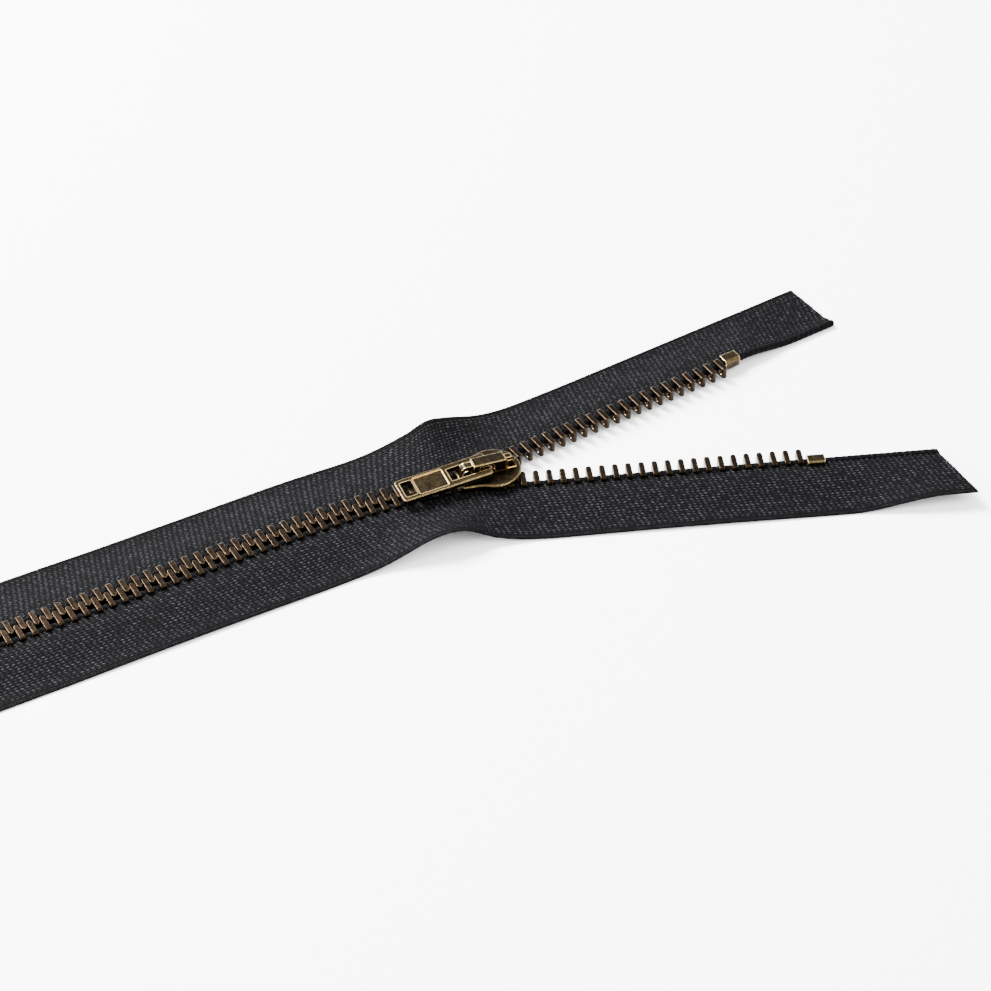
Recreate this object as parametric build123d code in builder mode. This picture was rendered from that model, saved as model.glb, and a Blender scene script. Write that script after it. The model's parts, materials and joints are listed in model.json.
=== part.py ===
from build123d import *
from math import atan, cos, radians, sin, tan
import os

# All sizes are in millimetres. +X points along the slider's travel, towards the top stops,
# +Y to the left tape, +Z up. The origin is under the middle of the slider, on its underside.

# Chain
PITCH = 2.65
CHAIN_MID_Z = 2.2
TEETH_CLOSED = 50
TEETH_MIDDLE = 20
TEETH_LEFT_TOP = 5
TEETH_RIGHT_TOP = 6
LEFT_PHASE = 0.25
RIGHT_PHASE = 0.75

# Plan of the chain: the rows part at the fork, and the closed chain bends away behind the slider
FORK_X = -6.0
FORK_ANGLE = 12.9
BEND_START_X = -12.0
BEND_RADIUS = 180.0
BEND_ANGLE = 9.0
TRAVEL = TEETH_MIDDLE * PITCH
MITRE_GAP = 0.06

# Teeth
TOOTH_THICK = 1.2
TOOTH_HEIGHT = 2.5
TOOTH_HEAD_REACH = 0.9
TOOTH_LEG_END = 3.0
TOOTH_HEAD_WIDTH = 1.16
TOOTH_FILLET = 0.16
TOOTH_LEG_FILLET = 0.45
BUMP_RADIUS = 0.42
BUMP_PROUD = 0.22
DIMPLE_DEPTH = 0.3

# Tape and its beaded cord
TAPE_WIDTH = 16.0
TAPE_THICK = 0.55
TAPE_INNER_Y = 2.65
TAPE_FLAT_END_Y = 4.5
TAPE_FLOOR_Y = 13.0
CORD_RADIUS = 0.75
CORD_Y = 2.0
GRIP_CLEARANCE = 0.05
TAPE_BOTTOM_END = -158.0
LEFT_TAPE_END = 94.0
RIGHT_TAPE_END = 95.5
LEFT_END_SKEW = 2.0
RIGHT_END_SKEW = 20.0
END_ALLOWANCE = 8.0
FORK_ALLOWANCE = 4.0

# Stops
TOP_STOP_LENGTH = 3.6
TOP_STOP_GAP = 0.7
TOP_STOP_INNER_Y = 0.85
TOP_STOP_OUTER_Y = 3.45
BOTTOM_STOP_LENGTH = 3.4
BOTTOM_STOP_GAP = 0.5
STOP_HEIGHT = 2.7
TOP_STOP_INNER_FILLET = 0.7
TOP_STOP_OUTER_FILLET = 0.4
TOP_STOP_END_FILLET = 0.14
BOTTOM_STOP_FILLET = 0.5
BOTTOM_STOP_END_FILLET = 0.2

# Slider body
SLIDER_REAR_X = -6.5
SLIDER_FRONT_X = 6.7
WING_THICK = 0.8
SLIDER_HEIGHT = 4.4
SLOT_HALF_HEIGHT = 0.6
CHAIN_CLEARANCE = 0.15
WING_REAR_HALF = 3.95
WING_ROUND_RADIUS = 5.55
WING_ROUND_X = 1.15
FLANGE_FRONT_X = 1.8
NECK_REAR_X = 0.95
NECK_WIDE_X = 4.9
NECK_HALF = 1.4
NECK_FRONT_X = 6.45
WING_FILLET = 0.28
WING_CORNER_FILLET = 0.7
WING_WAIST_X = -1.6
WING_REAR_SLOPE = 0.02
NECK_REAR_HALF = 0.12
CHANNEL_ENTRY = 0.06
CUT_BEYOND = 2.0

# Lugs and crown cover
CROWN_TOP_Z = 7.0
CROWN_WALL = 0.4
CROWN_HALF = 1.35
CROWN_REAR_X = -3.4
CROWN_FRONT_X = 3.4
ARCH_REAR_X = -2.5
ARCH_FRONT_X = 1.0
ARCH_TOP_Z = 6.35
ARCH_CORNER = 0.6
CROWN_FILLET = 0.22
TONGUE_HALF = 0.75
KNOB_X = -4.75
KNOB_RADIUS = 1.05
KNOB_DROP = 0.25
KNOB_STEM_LENGTH = 1.2
KNOB_STEM_HEIGHT = 1.4
KNOB_STEM_DROP = 0.6
TONGUE_THICK = 0.6
TONGUE_DROP = 0.6
TONGUE_OVERLAP = 0.2
LUG_HALF = 1.3
LUG_THICK = 0.45
LUG_TOP_Z = 6.2
LUG_HALF_LENGTH = 0.85
ROOT_DEPTH = 0.1
POST_REAR_X = 3.75
POST_FRONT_X = 5.3
POST_HALF = 1.1
POST_TOP_Z = 6.3
POST_CHAMFER_LENGTH = 0.55
POST_CHAMFER_HEIGHT = 0.9
POST_RAKE = 0.25
NOSE_SLOT_HEIGHT = 1.1
NOSE_SLOT_CLEARANCE = 0.03
NOSE_HALF = 0.62
NOSE_TOP_Z = 6.75
NOSE_THICK = 0.62
NOSE_OVERLAP = 0.2
NOSE_BEND_BACK = 0.5
NOSE_TIP_AHEAD = 0.35
NOSE_TIP_DROP = 1.0

# Locking pawl and leaf spring
PAWL_HALF = 0.4
PAWL_THICK = 0.22
PAWL_BAR_Z = 6.0
PAWL_REAR_X = -1.1
PAWL_FOOT_X = 2.75
PAWL_FOOT_GAP = 0.05
CLAW_X = 0.05
CLAW_LENGTH = 0.5
CLAW_TIP_Z = 3.22
CLAW_HOLE_REAR_X = -0.35
CLAW_HOLE_FRONT_X = 0.8
CLAW_HOLE_HALF = 0.52
SPRING_HALF_LENGTH = 2.3
SPRING_THICK = 0.14
SPRING_END_Z = 6.58
SPRING_LOW_Z = 6.26

# Pull tab
PINTLE_X = -0.6
PINTLE_Z = 5.5
PINTLE_RADIUS = 0.45
PULL_LENGTH = 18.4
PULL_HALF_WIDTH = 3.2
PULL_THICK = 1.1
PULL_YAW = 2.5
PULL_END_MID_Z = 4.12
ARM_END = 0.75
WINDOW_HALF = 1.8
WINDOW_END = 7.7
PANEL_START = 8.5
PANEL_END = 14.7
PANEL_DEPTH = 0.22
HOLE_START = 15.1
HOLE_END = 17.5
HOLE_HALF = 2.15
RIM = 0.75
PULL_FILLET = 0.25
PULL_CUT_CORNER = 0.3
PINTLE_ROOT = 0.2

os.makedirs("parts", exist_ok=True)


def save(part, name):
    """Label a finished piece and write it to its own file."""
    part.label = name
    export_step(part, f"parts/{name}.step")


def side_sign(side):
    """+1 for the left side, -1 for the right."""
    return 1 if side == "left" else -1


def chain_plane(distance):
    """Plane on the closed chain's centre line, distance mm ahead of the fork (negative behind it)."""
    behind = BEND_START_X - (FORK_X + distance)
    if behind <= 0:
        return Plane(origin=(FORK_X + distance, 0, CHAIN_MID_Z))
    turn = min(behind / BEND_RADIUS, radians(BEND_ANGLE))
    straight = behind - BEND_RADIUS * turn
    x = BEND_START_X - BEND_RADIUS * sin(turn) - straight * cos(turn)
    y = -BEND_RADIUS * (1 - cos(turn)) - straight * sin(turn)
    return Plane(origin=(x, y, CHAIN_MID_Z), x_dir=(cos(turn), sin(turn), 0))


def tail_plane(side, distance):
    """Plane on an open row's line, distance mm ahead of the fork."""
    angle = side_sign(side) * radians(FORK_ANGLE)
    direction = Vector(cos(angle), sin(angle), 0)
    origin = Vector(FORK_X, 0, CHAIN_MID_Z) + direction * distance
    return Plane(origin=origin, x_dir=direction, z_dir=(0, 0, 1))


def mitre_plane(side, ahead):
    """Plane that halves the angle between the closed chain and a tail, a little off the fork."""
    half = side_sign(side) * radians(FORK_ANGLE / 2)
    normal = Vector(cos(half), sin(half), 0)
    return Plane(origin=Vector(FORK_X, 0, 0) + normal * ahead, z_dir=normal)


def tape_profile(sign):
    """Half of the tape's section, flat beside the teeth and drooping to the floor, from the chain's mid height."""
    floor_z = TAPE_THICK / 2 - CHAIN_MID_Z
    middle = [(TAPE_INNER_Y, 0), (TAPE_FLAT_END_Y, 0), (TAPE_FLOOR_Y, floor_z), (TAPE_WIDTH, floor_z)]
    upper = [(sign * y, z + TAPE_THICK / 2) for y, z in middle]
    lower = [(sign * y, z - TAPE_THICK / 2) for y, z in reversed(middle)]
    return upper + lower


def closed_path(offset):
    """Centre line of a strip of the closed chain, offset mm to the left, from ahead of the fork to the tape's end."""
    straight_end = chain_plane(TAPE_BOTTOM_END)
    end = straight_end.origin + straight_end.y_dir * offset
    with BuildLine(Plane.XY.offset(CHAIN_MID_Z)) as path:
        first = Line((FORK_X + FORK_ALLOWANCE, offset), (BEND_START_X, offset))
        bend = JernArc(first @ 1, (-1, 0), BEND_RADIUS + offset, BEND_ANGLE)
        Line(bend @ 1, (end.X, end.Y))
    return path


def grip_profile(sign):
    """Sketch of the hollow that holds the cord and the tape's edge; a cut made by teeth and stops."""
    slot_end = TOOTH_LEG_END + CUT_BEYOND
    with Locations((sign * CORD_Y, 0)):
        Circle(CORD_RADIUS + GRIP_CLEARANCE)
    with Locations((sign * (CORD_Y + slot_end) / 2, 0)):
        Rectangle(slot_end - CORD_Y, TAPE_THICK + 2 * GRIP_CLEARANCE)


# One tooth: a bar with a round head at its inner end, whose legs clamp the cord
with BuildPart() as tooth:
    with BuildSketch(Plane.XY.offset(-TOOTH_HEIGHT / 2)):
        with Locations(((0, (TOOTH_LEG_END - TOOTH_HEAD_REACH + TOOTH_HEAD_WIDTH / 2) / 2))):
            Rectangle(TOOTH_THICK, TOOTH_LEG_END + TOOTH_HEAD_REACH - TOOTH_HEAD_WIDTH / 2)
        with Locations((0, -TOOTH_HEAD_REACH + TOOTH_HEAD_WIDTH / 2)):
            Circle(TOOTH_HEAD_WIDTH / 2)
    extrude(amount=TOOTH_HEIGHT)
    fillet(tooth.faces().sort_by(Axis.Y)[-1].edges().filter_by(Axis.X), TOOTH_LEG_FILLET)
    top_and_bottom = tooth.faces().filter_by(Axis.Z)
    fillet(top_and_bottom.edges(), TOOTH_FILLET)
    with BuildSketch(Plane.YZ):
        grip_profile(1)
    extrude(amount=TOOTH_THICK, both=True, mode=Mode.SUBTRACT)
    with Locations((TOOTH_THICK / 2 + BUMP_PROUD - BUMP_RADIUS, 0, 0)):
        Sphere(BUMP_RADIUS)
    with Locations((-TOOTH_THICK / 2 + DIMPLE_DEPTH - BUMP_RADIUS - GRIP_CLEARANCE, 0, 0)):
        Sphere(BUMP_RADIUS + GRIP_CLEARANCE, mode=Mode.SUBTRACT)


def tooth_row(side, first, count):
    """A group of equal teeth of one row, numbered from the fork."""
    phase = LEFT_PHASE if side == "left" else RIGHT_PHASE
    piece = tooth.part if side == "left" else tooth.part.mirror(Plane.XZ)
    places = []
    for index in range(first, first + count):
        distance = (index + phase) * PITCH
        plane = tail_plane(side, distance) if distance > 0 else chain_plane(distance)
        places.append(plane.location)
    with BuildPart() as row:
        with Locations(*places):
            add(piece)
    return row.part


def closed_strip(side, kind):
    """Cord or tape beside the closed chain, cut on the mitre at the fork."""
    sign = side_sign(side)
    offset = sign * CORD_Y if kind == "cord" else 0
    path = closed_path(offset)
    with BuildPart() as strip:
        with BuildSketch(Plane(origin=path.line @ 0, x_dir=(0, 1, 0), z_dir=(1, 0, 0))):
            if kind == "cord":
                Circle(CORD_RADIUS)
            else:
                Polygon(*tape_profile(sign), align=None)
        sweep(path=path.line)
        split(bisect_by=mitre_plane(side, -MITRE_GAP), keep=Keep.BOTTOM)
    return strip.part


def tail_strip(side, kind, start, end, end_skew):
    """Cord or tape along an open row, from start to end mm ahead of the fork; end_skew 0 leaves a square end."""
    sign = side_sign(side)
    behind = FORK_ALLOWANCE if start == 0 else -MITRE_GAP
    beyond = END_ALLOWANCE if end_skew else 0
    base = tail_plane(side, start - behind)
    length = end - start + behind + beyond
    section = Plane(origin=base.origin, x_dir=base.y_dir, z_dir=base.x_dir)
    with BuildPart() as strip:
        with BuildSketch(section):
            if kind == "cord":
                with Locations((sign * CORD_Y, 0)):
                    Circle(CORD_RADIUS)
            else:
                Polygon(*tape_profile(sign), align=None)
        extrude(amount=length)
        if start == 0:
            split(bisect_by=mitre_plane(side, MITRE_GAP), keep=Keep.TOP)
        if end_skew:
            line = tail_plane(side, end)
            skew = radians(end_skew)
            normal = line.x_dir * cos(skew) + line.y_dir * sin(skew)
            split(bisect_by=Plane(origin=line.origin, z_dir=normal), keep=Keep.BOTTOM)
    return strip.part


for side in ("left", "right"):
    top_teeth = TEETH_LEFT_TOP if side == "left" else TEETH_RIGHT_TOP
    tape_end = LEFT_TAPE_END if side == "left" else RIGHT_TAPE_END
    end_skew = LEFT_END_SKEW if side == "left" else RIGHT_END_SKEW
    save(tooth_row(side, -TEETH_CLOSED, TEETH_CLOSED), f"{side}_teeth_closed")
    save(tooth_row(side, 0, TEETH_MIDDLE), f"{side}_teeth_middle")
    save(tooth_row(side, TEETH_MIDDLE, top_teeth), f"{side}_teeth_top")
    for kind in ("cord", "tape"):
        save(closed_strip(side, kind), f"{side}_{kind}_closed")
        save(tail_strip(side, kind, 0, TRAVEL, 0), f"{side}_{kind}_middle")
        save(tail_strip(side, kind, TRAVEL, tape_end, end_skew), f"{side}_{kind}_top")


def stop_outline(length, inner, outer, height):
    """Build a stop's block between two lateral distances, its edges rounded."""
    with Locations((0, (inner + outer) / 2, 0)):
        Box(length, outer - inner, height)


# Top stop: a clip pinched over the cord just past the last tooth
with BuildPart() as top_stop:
    stop_outline(TOP_STOP_LENGTH, TOP_STOP_INNER_Y, TOP_STOP_OUTER_Y, STOP_HEIGHT)
    fillet(top_stop.faces().sort_by(Axis.Y)[0].edges().filter_by(Axis.X), TOP_STOP_INNER_FILLET)
    fillet(top_stop.faces().sort_by(Axis.Y)[-1].edges().filter_by(Axis.X), TOP_STOP_OUTER_FILLET)
    fillet(top_stop.faces().sort_by(Axis.X)[0].edges(), TOP_STOP_END_FILLET)
    fillet(top_stop.faces().sort_by(Axis.X)[-1].edges(), TOP_STOP_END_FILLET)
    with BuildSketch(Plane.YZ):
        grip_profile(1)
    extrude(amount=TOP_STOP_LENGTH, both=True, mode=Mode.SUBTRACT)

for side in ("left", "right"):
    last_tooth = TEETH_MIDDLE + (TEETH_LEFT_TOP if side == "left" else TEETH_RIGHT_TOP) - 1
    phase = LEFT_PHASE if side == "left" else RIGHT_PHASE
    reach = (last_tooth + phase) * PITCH + TOOTH_THICK / 2 + TOP_STOP_GAP + TOP_STOP_LENGTH / 2
    clip = top_stop.part if side == "left" else top_stop.part.mirror(Plane.XZ)
    with BuildPart() as placed_stop:
        with Locations(tail_plane(side, reach).location):
            add(clip)
    save(placed_stop.part, f"{side}_top_stop")

# Bottom stop: one bridge clamped over both cords behind the last teeth
with BuildPart() as bridge:
    stop_outline(BOTTOM_STOP_LENGTH, -TOP_STOP_OUTER_Y, TOP_STOP_OUTER_Y, STOP_HEIGHT)
    fillet(bridge.edges().filter_by(Axis.X), BOTTOM_STOP_FILLET)
    fillet(bridge.faces().sort_by(Axis.X)[0].edges(), BOTTOM_STOP_END_FILLET)
    fillet(bridge.faces().sort_by(Axis.X)[-1].edges(), BOTTOM_STOP_END_FILLET)
    with BuildSketch(Plane.YZ):
        grip_profile(1)
        grip_profile(-1)
    extrude(amount=BOTTOM_STOP_LENGTH, both=True, mode=Mode.SUBTRACT)

last_face = (-TEETH_CLOSED + LEFT_PHASE) * PITCH - TOOTH_THICK / 2
bottom_reach = last_face - BOTTOM_STOP_GAP - BOTTOM_STOP_LENGTH / 2
with BuildPart() as bottom_stop:
    with Locations(chain_plane(bottom_reach).location):
        add(bridge.part)
save(bottom_stop.part, "bottom_stop")


def mirrored_outline(points):
    """Closed outline from points on the +Y side, mirrored to the other side."""
    return points + [(x, -y) for x, y in reversed(points)]


def wing_outline():
    """Sketch of a wing: a round front lobe that narrows to the rear with a slight waist."""
    rise = (WING_ROUND_RADIUS**2 - (WING_WAIST_X - WING_ROUND_X) ** 2) ** 0.5
    slope = Vector(rise, WING_ROUND_X - WING_WAIST_X).normalized()
    with BuildSketch() as wing:
        with BuildLine():
            rear = Line((SLIDER_REAR_X, -WING_REAR_HALF), (SLIDER_REAR_X, WING_REAR_HALF))
            upper = Spline(rear @ 1, (WING_WAIST_X, rise), tangents=(Vector(1, WING_REAR_SLOPE), slope))
            front = ThreePointArc(upper @ 1, (WING_ROUND_X + WING_ROUND_RADIUS, 0), (WING_WAIST_X, -rise))
            Spline(rear @ 0, front @ 1, tangents=(Vector(1, -WING_REAR_SLOPE), Vector(slope.X, -slope.Y)))
        make_face()
    return wing.sketch


def neck_outline():
    """Sketch of the wedge between the wings that parts the rows."""
    with BuildSketch() as neck:
        with BuildLine():
            upper = Line((NECK_REAR_X, NECK_REAR_HALF), (NECK_WIDE_X, NECK_HALF))
            front = ThreePointArc(upper @ 1, (NECK_FRONT_X, 0), (NECK_WIDE_X, -NECK_HALF))
            lower = Line(front @ 1, (NECK_REAR_X, -NECK_REAR_HALF))
            Line(lower @ 1, upper @ 0)
        make_face()
    return neck.sketch


def channel_outline():
    """Sketch of the space between the flanges, open in front of them."""
    slope = tan(radians(FORK_ANGLE))
    leg_end = TOOTH_LEG_END / cos(radians(FORK_ANGLE)) + CHAIN_CLEARANCE
    front_half = (FLANGE_FRONT_X - FORK_X) * slope + leg_end
    beyond = WING_ROUND_RADIUS + CUT_BEYOND
    rear_half = TOOTH_LEG_END + CHAIN_CLEARANCE
    Polygon(
        *mirrored_outline(
            [
                (SLIDER_REAR_X - CUT_BEYOND, rear_half),
                (FORK_X, rear_half + CHANNEL_ENTRY),
                (FLANGE_FRONT_X, front_half),
                (FLANGE_FRONT_X, beyond),
                (SLIDER_FRONT_X + CUT_BEYOND, beyond),
            ]
        ),
        align=None,
    )


# Slider body: two wings joined by the neck, flanges that guide the teeth, lugs and a post for the crown
with BuildPart() as slider_body:
    with BuildSketch(Plane.XY):
        add(wing_outline())
    extrude(amount=SLIDER_HEIGHT)
    fillet(slider_body.edges().filter_by(Axis.Z), WING_CORNER_FILLET)
    fillet(slider_body.faces().sort_by(Axis.Z)[-1].edges(), WING_FILLET)
    fillet(slider_body.faces().sort_by(Axis.Z)[0].edges(), WING_FILLET)
    with BuildSketch(Plane.XY.offset(WING_THICK)):
        channel_outline()
        add(neck_outline(), mode=Mode.SUBTRACT)
    extrude(amount=SLIDER_HEIGHT - 2 * WING_THICK, mode=Mode.SUBTRACT)
    with BuildSketch(Plane.XY.offset(CHAIN_MID_Z - SLOT_HALF_HEIGHT)):
        Rectangle(2 * SLIDER_FRONT_X + CUT_BEYOND, 2 * (WING_ROUND_RADIUS + CUT_BEYOND))
        add(neck_outline(), mode=Mode.SUBTRACT)
    extrude(amount=2 * SLOT_HALF_HEIGHT, mode=Mode.SUBTRACT)
    with BuildSketch(Plane.XY.offset(SLIDER_HEIGHT - WING_THICK)):
        with Locations(((CLAW_HOLE_REAR_X + CLAW_HOLE_FRONT_X) / 2, 0)):
            Rectangle(CLAW_HOLE_FRONT_X - CLAW_HOLE_REAR_X, 2 * CLAW_HOLE_HALF)
    extrude(amount=WING_THICK, mode=Mode.SUBTRACT)
    for lug_y in (LUG_HALF - LUG_THICK, -LUG_HALF):
        with BuildSketch(Plane.XZ.offset(-lug_y)):
            with BuildLine():
                low_rear = (KNOB_X - LUG_HALF_LENGTH, SLIDER_HEIGHT - ROOT_DEPTH)
                low_front = (KNOB_X + LUG_HALF_LENGTH, SLIDER_HEIGHT - ROOT_DEPTH)
                high_front = (KNOB_X + LUG_HALF_LENGTH, LUG_TOP_Z - LUG_HALF_LENGTH)
                high_rear = (KNOB_X - LUG_HALF_LENGTH, LUG_TOP_Z - LUG_HALF_LENGTH)
                Line(low_rear, low_front)
                Line(low_front, high_front)
                ThreePointArc(high_front, (KNOB_X, LUG_TOP_Z), high_rear)
                Line(high_rear, low_rear)
            make_face()
        extrude(amount=-LUG_THICK)
    with BuildSketch(Plane.XZ):
        with BuildLine():
            Polyline(
                (POST_REAR_X, SLIDER_HEIGHT - ROOT_DEPTH),
                (POST_REAR_X, POST_TOP_Z),
                (POST_FRONT_X - POST_CHAMFER_LENGTH, POST_TOP_Z),
                (POST_FRONT_X, POST_TOP_Z - POST_CHAMFER_HEIGHT),
                (POST_FRONT_X + POST_RAKE, SLIDER_HEIGHT - ROOT_DEPTH),
                close=True,
            )
        make_face()
    extrude(amount=POST_HALF, both=True)
    with BuildSketch(Plane.YZ.offset(POST_REAR_X - CUT_BEYOND / 2)):
        with Locations((0, POST_TOP_Z)):
            Rectangle(2 * (NOSE_HALF + NOSE_SLOT_CLEARANCE), NOSE_SLOT_HEIGHT)
    extrude(amount=POST_FRONT_X - POST_REAR_X + CUT_BEYOND, mode=Mode.SUBTRACT)
save(slider_body.part, "slider_body")

# Crown cover: a cap over the lugs, with an arch for the cross bar, a rear tongue and a front nose
with BuildPart() as crown_cover:
    with Locations(((CROWN_REAR_X + CROWN_FRONT_X) / 2, 0, (SLIDER_HEIGHT + CROWN_TOP_Z) / 2)):
        Box(CROWN_FRONT_X - CROWN_REAR_X, 2 * CROWN_HALF, CROWN_TOP_Z - SLIDER_HEIGHT)
    fillet(crown_cover.faces().sort_by(Axis.Z)[-1].edges(), CROWN_FILLET)
    with Locations(((CROWN_REAR_X + CROWN_FRONT_X) / 2, 0, (SLIDER_HEIGHT + CROWN_TOP_Z) / 2 - CROWN_WALL)):
        inner_length = CROWN_FRONT_X - CROWN_REAR_X - 2 * CROWN_WALL
        Box(inner_length, 2 * (CROWN_HALF - CROWN_WALL), CROWN_TOP_Z - SLIDER_HEIGHT, mode=Mode.SUBTRACT)
    with BuildSketch(Plane.XZ):
        arch_length = ARCH_FRONT_X - ARCH_REAR_X
        with Locations(((ARCH_REAR_X + ARCH_FRONT_X) / 2, SLIDER_HEIGHT)):
            RectangleRounded(arch_length, 2 * (ARCH_TOP_Z - SLIDER_HEIGHT), ARCH_CORNER)
    extrude(amount=2 * CROWN_HALF, both=True, mode=Mode.SUBTRACT)
    with BuildSketch(Plane.XZ):
        with Locations((KNOB_X, CROWN_TOP_Z - KNOB_DROP - KNOB_RADIUS)):
            Circle(KNOB_RADIUS)
        with Locations(((KNOB_X + CROWN_REAR_X + TONGUE_OVERLAP) / 2, CROWN_TOP_Z - TONGUE_DROP)):
            Rectangle(CROWN_REAR_X + TONGUE_OVERLAP - KNOB_X, TONGUE_THICK)
        with Locations((KNOB_X, (SLIDER_HEIGHT + CROWN_TOP_Z) / 2 - KNOB_STEM_DROP)):
            Rectangle(KNOB_STEM_LENGTH, KNOB_STEM_HEIGHT)
    extrude(amount=TONGUE_HALF, both=True)
    with BuildSketch(Plane.XZ):
        with BuildLine():
            Polyline(
                (CROWN_FRONT_X - NOSE_OVERLAP, NOSE_TOP_Z - NOSE_THICK),
                (CROWN_FRONT_X - NOSE_OVERLAP, NOSE_TOP_Z),
                (POST_FRONT_X - NOSE_BEND_BACK, NOSE_TOP_Z),
                (POST_FRONT_X + NOSE_TIP_AHEAD, NOSE_TOP_Z - NOSE_TIP_DROP),
                (POST_FRONT_X - NOSE_OVERLAP, NOSE_TOP_Z - NOSE_TIP_DROP),
                close=True,
            )
        make_face()
    extrude(amount=NOSE_HALF, both=True)
save(crown_cover.part, "crown_cover")

# Locking pawl: a bar over the cross bar, rocking on its front foot, with a claw behind the neck
with BuildPart() as locking_pawl:
    with BuildSketch(Plane.XZ):
        with BuildLine():
            Polyline(
                (PAWL_REAR_X, PAWL_BAR_Z),
                (CLAW_X, PAWL_BAR_Z),
                (CLAW_X, CLAW_TIP_Z),
                (CLAW_X + CLAW_LENGTH, CLAW_TIP_Z),
                (CLAW_X + CLAW_LENGTH, PAWL_BAR_Z),
                (PAWL_FOOT_X - PAWL_THICK, PAWL_BAR_Z),
                (PAWL_FOOT_X - PAWL_THICK, SLIDER_HEIGHT + PAWL_FOOT_GAP),
                (PAWL_FOOT_X, SLIDER_HEIGHT + PAWL_FOOT_GAP),
                (PAWL_FOOT_X, PAWL_BAR_Z + PAWL_THICK),
                (PAWL_REAR_X, PAWL_BAR_Z + PAWL_THICK),
                close=True,
            )
        make_face()
    extrude(amount=PAWL_HALF, both=True)
save(locking_pawl.part, "locking_pawl")

# Leaf spring: a bowed strip between the crown and the pawl
with BuildPart() as leaf_spring:
    with BuildSketch(Plane.XZ):
        with BuildLine():
            low = ThreePointArc(
                (-SPRING_HALF_LENGTH, SPRING_END_Z - SPRING_THICK),
                (0, SPRING_LOW_Z),
                (SPRING_HALF_LENGTH, SPRING_END_Z - SPRING_THICK),
            )
            high = ThreePointArc(
                (-SPRING_HALF_LENGTH, SPRING_END_Z),
                (0, SPRING_LOW_Z + SPRING_THICK),
                (SPRING_HALF_LENGTH, SPRING_END_Z),
            )
            Line(low @ 0, high @ 0)
            Line(low @ 1, high @ 1)
        make_face()
    extrude(amount=PAWL_HALF, both=True)
save(leaf_spring.part, "leaf_spring")

# Pull tab: a plate with a window round the crown, a panel and a hole, and a cross bar through the arch
pull_drop = atan((PINTLE_Z - PULL_END_MID_Z) / PULL_LENGTH)
pull_yaw = radians(PULL_YAW)
pull_along = Vector(-cos(pull_yaw) * cos(pull_drop), -sin(pull_yaw) * cos(pull_drop), -sin(pull_drop))
pull_across = Vector(sin(pull_yaw), -cos(pull_yaw), 0)
pull_plane = Plane(origin=(PINTLE_X, 0, PINTLE_Z), x_dir=pull_along, z_dir=pull_along.cross(pull_across))
pull_cuts = (
    (HOLE_START, HOLE_END, HOLE_HALF, PULL_THICK),
    (PANEL_START, PANEL_END, PULL_HALF_WIDTH - RIM, PANEL_DEPTH),
)
with BuildPart() as pull_tab:
    with BuildSketch(pull_plane.offset(-PULL_THICK / 2)):
        with Locations(((PULL_LENGTH - ARM_END) / 2, 0)):
            RectangleRounded(PULL_LENGTH + ARM_END, 2 * PULL_HALF_WIDTH, ARM_END)
    extrude(amount=PULL_THICK)
    fillet(pull_tab.faces().sort_by(SortBy.AREA)[-2:].edges(), PULL_FILLET)
    for start, end, half_width, depth in pull_cuts:
        with BuildSketch(pull_plane.offset(PULL_THICK / 2)):
            with Locations(((start + end) / 2, 0)):
                RectangleRounded(end - start, 2 * half_width, PULL_CUT_CORNER)
        extrude(amount=-depth, mode=Mode.SUBTRACT)
    with BuildSketch(pull_plane.offset(-PULL_THICK / 2)):
        with Locations(((WINDOW_END - CUT_BEYOND) / 2, 0)):
            Rectangle(WINDOW_END + CUT_BEYOND, 2 * WINDOW_HALF)
    extrude(amount=PULL_THICK, mode=Mode.SUBTRACT)
    across_plane = Plane(origin=pull_plane.origin, x_dir=pull_along, z_dir=pull_across)
    with BuildSketch(across_plane):
        Circle(PINTLE_RADIUS)
    extrude(amount=WINDOW_HALF + PINTLE_ROOT, both=True)
save(pull_tab.part, "pull_tab")
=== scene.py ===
import json
from math import ceil, cos, pi, radians, sin, tan

import bpy
import numpy as np
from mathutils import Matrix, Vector


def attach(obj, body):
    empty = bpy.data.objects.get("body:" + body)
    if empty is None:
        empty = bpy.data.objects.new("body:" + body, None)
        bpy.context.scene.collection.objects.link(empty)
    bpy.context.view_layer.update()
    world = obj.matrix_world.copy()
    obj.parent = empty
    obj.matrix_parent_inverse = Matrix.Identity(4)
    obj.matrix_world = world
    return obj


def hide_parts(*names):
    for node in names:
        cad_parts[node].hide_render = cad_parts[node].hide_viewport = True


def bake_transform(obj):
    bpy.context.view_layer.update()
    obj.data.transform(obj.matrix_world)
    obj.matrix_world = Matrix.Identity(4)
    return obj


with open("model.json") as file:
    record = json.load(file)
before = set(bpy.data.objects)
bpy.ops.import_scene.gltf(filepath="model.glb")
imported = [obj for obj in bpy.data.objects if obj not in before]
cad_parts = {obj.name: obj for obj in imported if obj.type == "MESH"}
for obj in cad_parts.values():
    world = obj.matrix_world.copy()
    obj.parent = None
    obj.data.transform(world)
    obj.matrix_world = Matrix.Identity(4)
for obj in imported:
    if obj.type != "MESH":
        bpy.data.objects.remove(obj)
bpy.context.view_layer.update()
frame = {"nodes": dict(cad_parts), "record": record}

MM = 0.001

# The chain's plan, as the CAD has it, in millimetres
JOINTS = {joint["name"]: joint for joint in frame["record"]["behaviour"]["joints"]}
FORK = np.array(JOINTS["left_tail_close"]["pos_m"][:2]) / MM
CHAIN_MID_Z = JOINTS["left_tail_close"]["pos_m"][2] / MM
FORK_ANGLE = radians(JOINTS["left_tip_part"]["range_deg"][1])
TRAVEL = JOINTS["slider_travel"]["range_m"][1] / MM
BEND_START = -12.0 - FORK[0]
BEND_RADIUS = 180.0
BEND_ANGLE = radians(9.0)
FORK_EASE = 5.0

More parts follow.
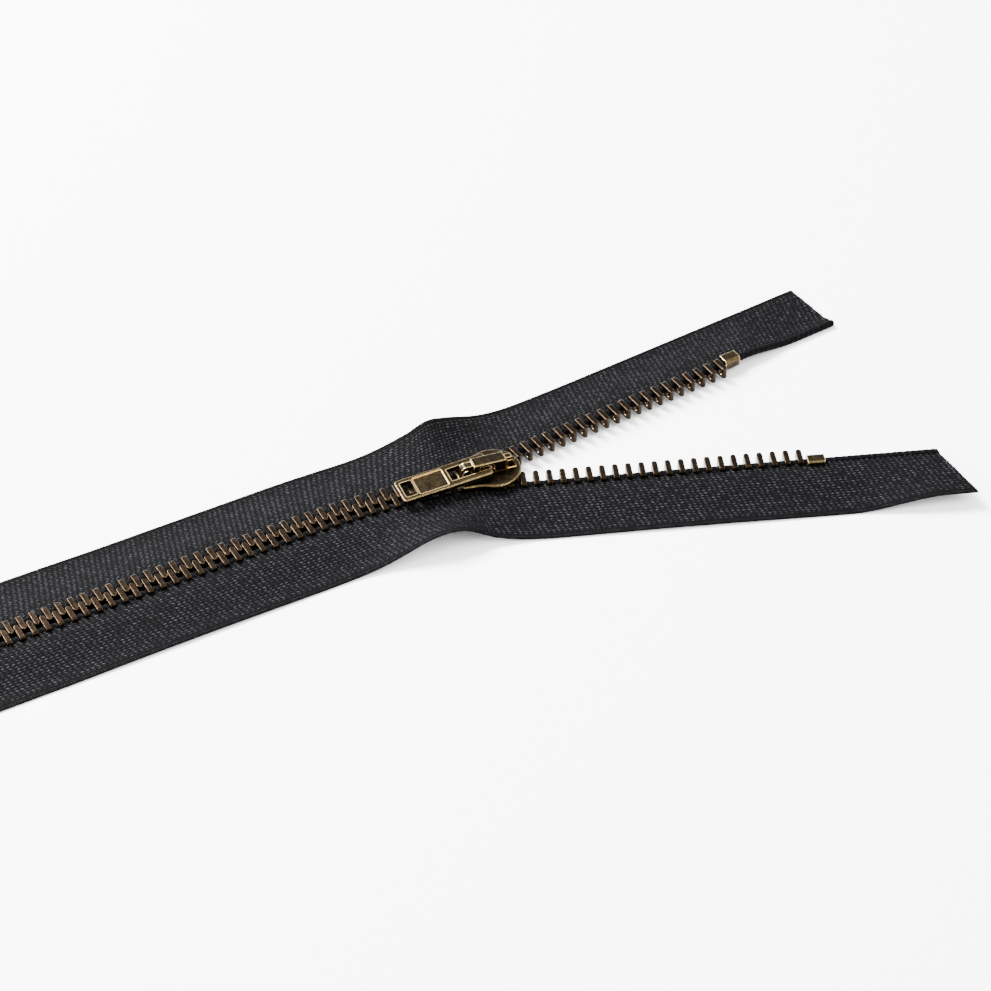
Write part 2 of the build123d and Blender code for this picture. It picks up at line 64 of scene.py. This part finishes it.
# The tape
TAPE_WIDTH = 16.0
TAPE_THICK = 0.5
BOTTOM_END = -158.0
TOP_ENDS = {"left": 94.0, "right": 95.5}
END_SKEWS = {"left": tan(radians(2.0)), "right": tan(radians(20.0))}
CORD_Y = 2.0
CORD_RADIUS = 0.74
FLAT_END = 4.6
STATION_STEP = 0.27
TOP_POINTS = 84
UNDER_POINTS = 40
CORD_POINTS = 14
CORD_START = 0.36
CORD_JOIN = 0.93
BEAD_PITCH = 1.3
BEAD_SHARE = 0.1
MARGIN = 0.05
LEAST_HEIGHT = 0.02
EDGE_ROUND_IN = 0.5
EDGE_ROUND_OUT = 0.1
EDGE_LEAST = 0.02

# The weave's floats, laid in staggered rows along the tape
FLOAT_LENGTH = 1.1
FLOAT_WIDTH = 0.6
FLOAT_HEIGHT = 0.17
SELVEDGE_WIDTH = 1.0
SELVEDGE_RIB = 0.62
SELVEDGE_BLEND = 0.15
SELVEDGE_SHARE = 0.8
GROOVE_WIDTH = 0.16
GROOVE_SHARE = 0.5
FLOAT_SLANT = 0.55
FLOAT_SHORTEN = 2.0
FLOAT_NARROW = 1.9
UNDER_SHARE = 0.5
# Painted highlight on the cord: a steady share, swinging with each bead
CORD_PAINTED_SHINE = 0.35
CORD_PAINTED_SHINE_SWING = 3

# The tape's droop, and the low waves along it: where across the tape each begins and ends
DROOP_BEFORE = 0.8
DROOP_END = 14.5
HUMP_START = 4.4
HUMP_BEYOND = 1.5
WAVE_HEIGHT = 0.28
WAVE_LENGTH = 17.0
WAVE_START = 5.0

# Humps beside the slider, where the parting tails push the tapes up: height, place and half length
HUMPS = {"left": (5.6, 1.5, 11.0), "right": (5.0, -7.5, 12.0)}

# Past the top stops the left tape falls to the floor and the right one's outer edge curls up
FALL_START = 71.0
FALL_END = 84.0
CURL_START = 76.0
CURL_HEIGHT = 3.0
CURL_INNER = 2.0
FALL_CORD_END = 2.8
FALL_TAPE_START = 5.0

# Loose yarn ends at the cut
YARN_COUNT = 70
YARN_SEEDS = {"left": 7, "right": 11}
YARN_SIDES = 5
YARN_STEPS = 3
YARN_ROOT = 0.35
YARN_TAPER = 0.6
YARN_LOWEST = 0.1

# Camera: direction, height angle and distance
VIEW_TURN = radians(19.8)
VIEW_ELEVATION = radians(42.0)
VIEW_DISTANCE = 0.658
VIEW_TARGET = Vector((0.00037, -0.00338, 0.0))
LENS_MM = 120.35
SENSOR_MM = 36.0


def side_sign(side):
    """+1 for the left side, -1 for the right."""
    return 1 if side == "left" else -1


def chain_point(along):
    """Places and headings on the chain's centre line, along mm ahead of the fork."""
    behind = np.maximum(BEND_START - along, 0)
    turn = np.minimum(behind / BEND_RADIUS, BEND_ANGLE)
    straight = behind - BEND_RADIUS * turn
    x = FORK[0] + np.maximum(along, BEND_START)
    x = x - BEND_RADIUS * np.sin(turn) - straight * np.cos(turn)
    y = -BEND_RADIUS * (1 - np.cos(turn)) - straight * np.sin(turn)
    return x, y, turn


def row_point(side, along):
    """Places and headings on one tape's line: the chain, an eased corner, then the tail."""
    sign = side_sign(side)
    x, y, turn = chain_point(along)
    tail_x = FORK[0] + along * cos(FORK_ANGLE)
    tail_y = sign * along * sin(FORK_ANGLE)
    radius = FORK_EASE / tan(FORK_ANGLE / 2)
    eased = (along + FORK_EASE) / (2 * FORK_EASE) * FORK_ANGLE
    ease_x = FORK[0] - FORK_EASE + radius * np.sin(eased)
    ease_y = sign * radius * (1 - np.cos(eased))
    ahead, between = along > FORK_EASE, np.abs(along) <= FORK_EASE
    x = np.where(ahead, tail_x, np.where(between, ease_x, x))
    y = np.where(ahead, tail_y, np.where(between, ease_y, y))
    turn = np.where(ahead, sign * FORK_ANGLE, np.where(between, sign * eased, turn))
    return x, y, turn


def smooth(value, low, high):
    """0 below low, 1 above high, smooth between."""
    t = np.clip((value - low) / (high - low), 0, 1)
    return t * t * (3 - 2 * t)


def middle_height(side, along, across):
    """Height of the tape's middle: level beside the teeth, drooping, with the hump by the slider."""
    drop = CHAIN_MID_Z - TAPE_THICK / 2 - MARGIN
    droop = drop * smooth(across, FLAT_END - DROOP_BEFORE, DROOP_END)
    height, place, spread = HUMPS[side]
    hump = height * np.exp(-(((along - place) / spread) ** 2))
    hump = hump * smooth(across, HUMP_START, TAPE_WIDTH + HUMP_BEYOND)
    wave = WAVE_HEIGHT * np.sin(along / WAVE_LENGTH + side_sign(side))
    low = wave * smooth(across, WAVE_START, TAPE_WIDTH)
    height = CHAIN_MID_Z - droop + hump + np.maximum(low, 0)
    if side == "left":
        fall = smooth(along, FALL_START, FALL_END)
        beside_cord = 1 - smooth(across, FALL_CORD_END, FALL_TAPE_START)
        laid = TAPE_THICK / 2 + MARGIN + (CORD_RADIUS - TAPE_THICK / 2) * beside_cord
        return height * (1 - fall) + laid * fall
    curl = smooth(along, CURL_START, TOP_ENDS[side]) * smooth(across, CURL_INNER, TAPE_WIDTH)
    return height + CURL_HEIGHT * curl


def weave(along, across):
    """Height of the weave from 0 to 1: slanting floats in staggered rows, and a ribbed selvedge."""
    row = np.floor(across / FLOAT_WIDTH)
    in_row = across / FLOAT_WIDTH - row - 0.5
    slant = np.where(row % 2 == 0, FLOAT_SLANT, -FLOAT_SLANT)
    place = along / FLOAT_LENGTH + 0.5 * (row % 2) + 0.25 * (row % 3) + slant * in_row
    in_float = place - np.floor(place) - 0.5
    lengthwise = np.clip(1 - (FLOAT_SHORTEN * in_float) ** 2, 0, 1)
    floats = lengthwise * np.clip(1 - (FLOAT_NARROW * in_row) ** 2, 0, 1)
    rib = 0.5 + 0.5 * np.cos(2 * pi * along / SELVEDGE_RIB)
    selvedge = TAPE_WIDTH - SELVEDGE_WIDTH
    edge = smooth(across, selvedge, selvedge + SELVEDGE_BLEND)
    groove = np.exp(-(((across - selvedge) / GROOVE_WIDTH) ** 2))
    return np.clip(floats * (1 - edge) + SELVEDGE_SHARE * rib * edge - GROOVE_SHARE * groove, 0, 1)


def section():
    """One turn round the tape's section: places across on top, angles round the cord, places underneath."""
    inner = CORD_Y + CORD_RADIUS * CORD_JOIN
    top = np.linspace(TAPE_WIDTH, inner, TOP_POINTS)
    under = np.linspace(inner, TAPE_WIDTH, UNDER_POINTS)
    ring = np.linspace(CORD_START, 2 * pi - CORD_START, CORD_POINTS)
    return top, ring, under


def tape_piece(side, name, start, end, skewed):
    """One closed mesh of a tape with its cord, from start to end mm ahead of the fork."""
    sign = side_sign(side)
    count = ceil((end - start) / STATION_STEP) + 1
    stations = np.linspace(0, 1, count)[:, None]
    top, ring, under = section()
    cord_across = CORD_Y + CORD_RADIUS * np.cos(ring)
    cord_height = CORD_RADIUS * np.sin(ring)
    across = np.concatenate([top, cord_across, under])[None, :]
    limit = end - (sign * across * END_SKEWS[side] if skewed else 0 * across)
    along = start + (limit - start) * stations
    across = np.broadcast_to(across, along.shape)
    on_top = slice(0, len(top))
    on_cord = slice(len(top), len(top) + len(ring))
    below = slice(len(top) + len(ring), None)
    relief = weave(along, across) * FLOAT_HEIGHT
    middle = middle_height(side, along, across)
    at_edge = smooth(across, TAPE_WIDTH - EDGE_ROUND_IN, TAPE_WIDTH + EDGE_ROUND_OUT)
    rounding = np.sqrt(np.clip(1 - at_edge**2, EDGE_LEAST, 1))
    half = TAPE_THICK / 2 * rounding
    lift = np.zeros_like(along)
    lift[:, on_top] = (half + relief - FLOAT_HEIGHT / 2)[:, on_top]
    bead = 1 + BEAD_SHARE * np.cos(2 * pi * along[:, on_cord] / BEAD_PITCH + 2 * ring[None, :])
    lift[:, on_cord] = cord_height[None, :] * bead
    lift[:, below] = -(half + UNDER_SHARE * (relief - FLOAT_HEIGHT / 2))[:, below]
    height = np.maximum(middle + lift, LEAST_HEIGHT)
    x, y, turn = row_point(side, along)
    points = np.stack(
        [x - sign * across * np.sin(turn), y + sign * across * np.cos(turn), height], axis=-1
    ).reshape(-1, 3)
    width = across.shape[1]
    base = np.arange(count - 1)[:, None] * width + np.arange(width)[None, :]
    following = np.arange(count - 1)[:, None] * width + (np.arange(width)[None, :] + 1) % width
    quads = np.stack([base, following, following + width, base + width], axis=-1).reshape(-1, 4)
    if sign < 0:
        quads = quads[:, ::-1]
    faces = [tuple(q) for q in quads.tolist()]
    caps = [list(range(width)), list(range((count - 1) * width, count * width))]
    faces.append(tuple(caps[0][::-1] if sign > 0 else caps[0]))
    faces.append(tuple(caps[1] if sign > 0 else caps[1][::-1]))
    mesh = bpy.data.meshes.new(name)
    mesh.from_pydata((points * MM).tolist(), [], faces)
    # The weave height also sets where the cloth material paints its highlight
    values = {
        "weave": (relief / FLOAT_HEIGHT).reshape(-1),
        "tape_along": (along * MM).reshape(-1),
        "tape_across": (across * MM).reshape(-1),
    }
    # On the cord this attribute holds a painted highlight level that swings with each bead, not a weave
    # height
    values["weave"].reshape(along.shape)[:, on_cord] = CORD_PAINTED_SHINE + CORD_PAINTED_SHINE_SWING * (bead - 1)
    for key, data in values.items():
        layer = mesh.attributes.new(key, "FLOAT", "POINT")
        layer.data.foreach_set("value", np.ascontiguousarray(data, dtype=np.float32))
    mesh.polygons.foreach_set("use_smooth", [True] * (len(faces) - 2) + [False, False])
    mesh.update()
    piece = bpy.data.objects.new(name, mesh)
    bpy.context.scene.collection.objects.link(piece)
    return piece


# ---- Materials -------------------------------------------------------------------------------


class Nodes:
    """A small helper that adds nodes to a material and links them."""

    def __init__(self, name):
        self.material = bpy.data.materials.new(name)
        self.material.use_nodes = True
        self.tree = self.material.node_tree
        self.shader = self.tree.nodes["Principled BSDF"]

    def add(self, kind, inputs=None, **settings):
        """Add a node, set its settings, and link or set its inputs."""
        node = self.tree.nodes.new(kind)
        for key, value in settings.items():
            setattr(node, key, value)
        for key, value in (inputs or {}).items():
            self.put(value, node.inputs[key])
        return node

    def put(self, value, socket):
        """Link a socket or set a constant."""
        if isinstance(value, bpy.types.NodeSocket):
            self.tree.links.new(value, socket)
        else:
            socket.default_value = value

    def maths(self, operation, a, b=0.0):
        """One arithmetic step."""
        return self.add("ShaderNodeMath", {0: a, 1: b}, operation=operation).outputs[0]

    def noise(self, scale, detail=3.0, rough=0.6):
        """Noise in the object's own coordinates."""
        place = self.add("ShaderNodeTexCoord").outputs["Object"]
        inputs = {"Vector": place, "Scale": scale, "Detail": detail, "Roughness": rough}
        return self.add("ShaderNodeTexNoise", inputs).outputs[0]


# Sockets of a colour mix node
MIX_FACTOR, MIX_LOW, MIX_HIGH, MIX_RESULT = 0, 6, 7, 2


def colour_mix(nodes, factor, low, high):
    """A colour mix whose factor may be linked."""
    node = nodes.add("ShaderNodeMix", data_type="RGBA")
    nodes.put(factor, node.inputs[MIX_FACTOR])
    nodes.put(low, node.inputs[MIX_LOW])
    nodes.put(high, node.inputs[MIX_HIGH])
    return node.outputs[MIX_RESULT]


def worn_brass(name, dark, base, bright, wear_and_highlight, roughness, edge_radius):
    """Antique brass: dark and brown in random patches, bright towards its edges, partly rubbed edge wear
    and partly a painted highlight along the rounded edges.
    """
    n = Nodes(name)
    bevel = n.add("ShaderNodeBevel", {"Radius": edge_radius}, samples=6).outputs[0]
    normal = n.add("ShaderNodeNewGeometry").outputs["Normal"]
    facing = n.add("ShaderNodeVectorMath", {0: bevel, 1: normal}, operation="DOT_PRODUCT")
    facing = facing.outputs["Value"]
    edge = n.maths("SUBTRACT", 1.0, facing)
    patches = n.noise(900.0, 4.0, 0.65)
    fine = n.noise(5200.0, 3.0, 0.7)
    # Edge mask brightens edges and lowers roughness there: rubbed edge wear, plus a painted highlight along
    # rounded edges
    edge_gain = n.maths("MULTIPLY", edge, wear_and_highlight)
    rubbed_and_highlit = n.maths("MULTIPLY", edge_gain, n.maths("ADD", patches, 0.45))
    rubbed_and_highlit = n.add("ShaderNodeClamp", {"Value": rubbed_and_highlit}).outputs[0]
    patch_mask = n.add(
        "ShaderNodeMapRange", {"Value": patches, "From Min": 0.38, "From Max": 0.66}
    ).outputs[0]
    skin = colour_mix(n, patch_mask, dark, base)
    speck = n.add("ShaderNodeMapRange", {"Value": fine, "From Min": 0.6, "From Max": 0.8}).outputs[0]
    skin = colour_mix(n, n.maths("MULTIPLY", speck, 0.18), skin, bright)
    n.put(colour_mix(n, rubbed_and_highlit, skin, bright), n.shader.inputs["Base Color"])
    n.shader.inputs["Metallic"].default_value = 1.0
    grainy = n.maths("ADD", n.maths("MULTIPLY", fine, 0.22), roughness)
    polish = n.maths("MULTIPLY", rubbed_and_highlit, 0.14)
    n.put(n.maths("SUBTRACT", grainy, polish), n.shader.inputs["Roughness"])
    bump = n.add("ShaderNodeBump", {"Strength": 0.25, "Distance": 0.00004, "Height": fine})
    n.put(bump.outputs[0], n.shader.inputs["Normal"])
    return n.material


# The yarn's colours, the painted highlight colour for its float tops, and the scales of its noise
YARN_DEEP = (0.0005, 0.0005, 0.0006, 1)
YARN_PAINTED_HIGHLIGHT = (0.045, 0.045, 0.05, 1)
YARN_FIBRE = (0.0015, 0.0015, 0.0018, 1)
FIBRE_STRETCH = 0.22
FIBRE_SCALE = 9000.0
GLINT_SCALE = 2600.0


def tape_cloth():
    """Near-black woven polyester with a painted highlight on its float tops in scattered cells, with fine
    fibres along each float.
    """
    n = Nodes("tape_cloth")
    height = n.add("ShaderNodeAttribute", attribute_name="weave").outputs["Fac"]
    along = n.add("ShaderNodeAttribute", attribute_name="tape_along").outputs["Fac"]
    across = n.add("ShaderNodeAttribute", attribute_name="tape_across").outputs["Fac"]
    stretched = n.maths("MULTIPLY", along, FIBRE_STRETCH)
    place = n.add("ShaderNodeCombineXYZ", {"X": stretched, "Y": across}).outputs[0]
    fibre = n.add("ShaderNodeTexNoise", {"Vector": place, "Scale": FIBRE_SCALE, "Detail": 2.0}).outputs[0]
    cells = n.add("ShaderNodeTexNoise", {"Vector": place, "Scale": GLINT_SCALE, "Detail": 1.0}).outputs[0]
    # Painted highlight: float crests in scattered noise cells are lightened towards the highlight colour,
    # standing in for specular light
    crest = n.add("ShaderNodeMapRange", {"Value": height, "From Min": 0.35, "From Max": 1.0}).outputs[0]
    painted_glint = n.add("ShaderNodeMapRange", {"Value": cells, "From Min": 0.42, "From Max": 0.68}).outputs[0]
    crest_peak = n.maths("POWER", crest, 2.0)
    painted_shine = n.maths("MULTIPLY", crest_peak, n.maths("ADD", n.maths("MULTIPLY", painted_glint, 0.92), 0.08))
    yarn = colour_mix(n, painted_shine, YARN_DEEP, YARN_PAINTED_HIGHLIGHT)
    fibred = n.maths("MULTIPLY", fibre, 0.35)
    n.put(colour_mix(n, fibred, yarn, YARN_FIBRE), n.shader.inputs["Base Color"])
    n.put(n.maths("SUBTRACT", 0.75, n.maths("MULTIPLY", crest, 0.25)), n.shader.inputs["Roughness"])
    n.shader.inputs["Specular IOR Level"].default_value = 0.025
    bump = n.add("ShaderNodeBump", {"Strength": 0.5, "Distance": 0.00005, "Height": fibre})
    n.put(bump.outputs[0], n.shader.inputs["Normal"])
    return n.material


def thread_cloth(name, colour):
    """Loose yarn ends."""
    n = Nodes(name)
    tint = n.noise(3000.0)
    darker = tuple(0.6 * c for c in colour[:3]) + (1,)
    n.put(colour_mix(n, tint, darker, colour), n.shader.inputs["Base Color"])
    n.shader.inputs["Roughness"].default_value = 0.8
    return n.material


def paint(names, material):
    """Give CAD nodes a better material in every slot."""
    for name in names:
        node = frame["nodes"][name]
        if not node.material_slots:
            node.data.materials.append(material)
        for slot in node.material_slots:
            slot.material = material


SLIDER_BRASS = worn_brass(
    "slider_antique_brass",
    dark=(0.005, 0.0036, 0.0016, 1),
    base=(0.019, 0.0135, 0.0056, 1),
    bright=(0.8, 0.57, 0.26, 1),
    wear_and_highlight=13.0,
    roughness=0.2,
    edge_radius=0.0003,
)
TEETH_BRASS = worn_brass(
    "teeth_antique_brass",
    dark=(0.0025, 0.0015, 0.0008, 1),
    base=(0.012, 0.007, 0.0036, 1),
    bright=(0.5, 0.34, 0.2, 1),
    wear_and_highlight=3.4,
    roughness=0.22,
    edge_radius=0.00022,
)
STOP_BRASS = worn_brass(
    "stop_worn_brass",
    dark=(0.008, 0.0055, 0.0022, 1),
    base=(0.026, 0.0175, 0.0065, 1),
    bright=(1.0, 0.76, 0.36, 1),
    wear_and_highlight=13.0,
    roughness=0.2,
    edge_radius=0.0003,
)
SPRING_STEEL = worn_brass(
    "spring_steel",
    dark=(0.2, 0.2, 0.2, 1),
    base=(0.4, 0.4, 0.41, 1),
    bright=(0.8, 0.8, 0.82, 1),
    wear_and_highlight=4.0,
    roughness=0.28,
    edge_radius=0.0001,
)
TAPE_CLOTH = tape_cloth()

paint(["slider_body", "crown_cover", "pull_tab"], SLIDER_BRASS)
paint([n for n in frame["nodes"] if "_teeth_" in n], TEETH_BRASS)
paint([n for n in frame["nodes"] if n.endswith("_stop")], STOP_BRASS)
paint(["locking_pawl", "leaf_spring"], SPRING_STEEL)

# ---- Tapes -----------------------------------------------------------------------------------

SPLIT = TRAVEL / 2


def fray(side):
    """Short loose yarn ends along a tape's cut end, as one mesh of thin tapered tubes."""
    sign = side_sign(side)
    rng = np.random.default_rng(YARN_SEEDS[side])
    points, faces = [], []
    for _ in range(YARN_COUNT):
        across = rng.uniform(CORD_Y, TAPE_WIDTH - MARGIN)
        end = TOP_ENDS[side] - sign * across * END_SKEWS[side]
        length = rng.uniform(0.25, 0.95)
        radius = rng.uniform(0.035, 0.07)
        drift, rise = rng.uniform(-0.3, 0.3), rng.uniform(-0.12, 0.2)
        middle = float(middle_height(side, np.array(end), np.array(across)))
        height = middle + rng.uniform(-0.15, 0.2)
        first = len(points)
        for step in range(YARN_STEPS + 1):
            t = step / YARN_STEPS
            x, y, turn = row_point(side, np.array(end - YARN_ROOT + length * t))
            offset = across + drift * t * t
            cx = float(x) - sign * offset * sin(turn)
            cy = float(y) + sign * offset * cos(turn)
            cz = max(height + rise * t * t, YARN_LOWEST)
            r = radius * (1 - YARN_TAPER * t)
            for k in range(YARN_SIDES):
                a = 2 * pi * k / YARN_SIDES
                points.append(
                    (cx - r * cos(a) * sin(turn), cy + r * cos(a) * cos(turn), cz + r * sin(a))
                )
        for step in range(YARN_STEPS):
            for k in range(YARN_SIDES):
                ring = first + step * YARN_SIDES
                a, b = ring + k, ring + (k + 1) % YARN_SIDES
                faces.append((a, b, b + YARN_SIDES, a + YARN_SIDES))
        faces.append(tuple(first + k for k in reversed(range(YARN_SIDES))))
        faces.append(tuple(first + YARN_STEPS * YARN_SIDES + k for k in range(YARN_SIDES)))
    mesh = bpy.data.meshes.new(f"{side}_frayed_end")
    mesh.from_pydata([tuple(c * MM for c in p) for p in points], [], faces)
    mesh.polygons.foreach_set("use_smooth", [True] * len(faces))
    piece = bpy.data.objects.new(f"{side}_frayed_end", mesh)
    bpy.context.scene.collection.objects.link(piece)
    return piece


YARN_DARK = thread_cloth("yarn_black", (0.05, 0.05, 0.055, 1))
for side in ("left", "right"):
    lower = tape_piece(side, f"{side}_tape_lower_cloth", BOTTOM_END, SPLIT, False)
    upper = tape_piece(side, f"{side}_tape_upper_cloth", SPLIT, TOP_ENDS[side], True)
    for piece in (lower, upper):
        piece.data.materials.append(TAPE_CLOTH)
    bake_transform(lower)
    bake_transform(upper)
    lower_nodes = [f"{side}_{kind}_{part}" for part in ("closed", "middle") for kind in ("tape", "cord")]
    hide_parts(*lower_nodes)
    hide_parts(f"{side}_tape_top", f"{side}_cord_top")
    ends = fray(side)
    ends.data.materials.append(YARN_DARK)
    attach(ends, f"{side}_tip")

# ---- Floor, light and camera -------------------------------------------------------------------

bpy.ops.mesh.primitive_plane_add(size=8.0, location=(0, 0, 0))
floor = bpy.context.object
floor.name = "floor"
paper = Nodes("paper_floor")
paper_tone = colour_mix(paper, paper.noise(3.0), (0.93, 0.93, 0.932, 1), (0.94, 0.94, 0.942, 1))
paper.put(paper_tone, paper.shader.inputs["Base Color"])
paper.shader.inputs["Roughness"].default_value = 0.9
floor.data.materials.append(paper.material)


def area_light(name, place, size, power):
    """A soft square light that faces the origin."""
    data = bpy.data.lights.new(name, "AREA")
    data.size = size
    data.energy = power
    light = bpy.data.objects.new(name, data)
    light.location = place
    light.rotation_euler = (-Vector(place)).to_track_quat("-Z", "Y").to_euler()
    bpy.context.scene.collection.objects.link(light)


WORLD_STRENGTH = 2.0
area_light("key_light", (-0.35, 0.55, 0.75), 0.45, 88.0)
area_light("fill_light", (0.5, -0.6, 0.9), 0.8, 20.0)
area_light("rim_light", (-0.7, -0.1, 0.45), 0.3, 11.0)
world = bpy.data.worlds.new("studio")
world.use_nodes = True
background = world.node_tree.nodes["Background"]
background.inputs["Color"].default_value = (1, 1, 1, 1)
background.inputs["Strength"].default_value = WORLD_STRENGTH
bpy.context.scene.world = world

camera_data = bpy.data.cameras.new("camera")
camera_data.lens = LENS_MM
camera_data.sensor_width = SENSOR_MM
camera_data.clip_start = 0.01
camera = bpy.data.objects.new("camera", camera_data)
level = cos(VIEW_ELEVATION)
toward = Vector((-sin(VIEW_TURN) * level, -cos(VIEW_TURN) * level, sin(VIEW_ELEVATION)))
camera.location = VIEW_TARGET + VIEW_DISTANCE * toward
camera.rotation_euler = (-toward).to_track_quat("-Z", "Y").to_euler()
bpy.context.scene.collection.objects.link(camera)
bpy.context.scene.camera = camera
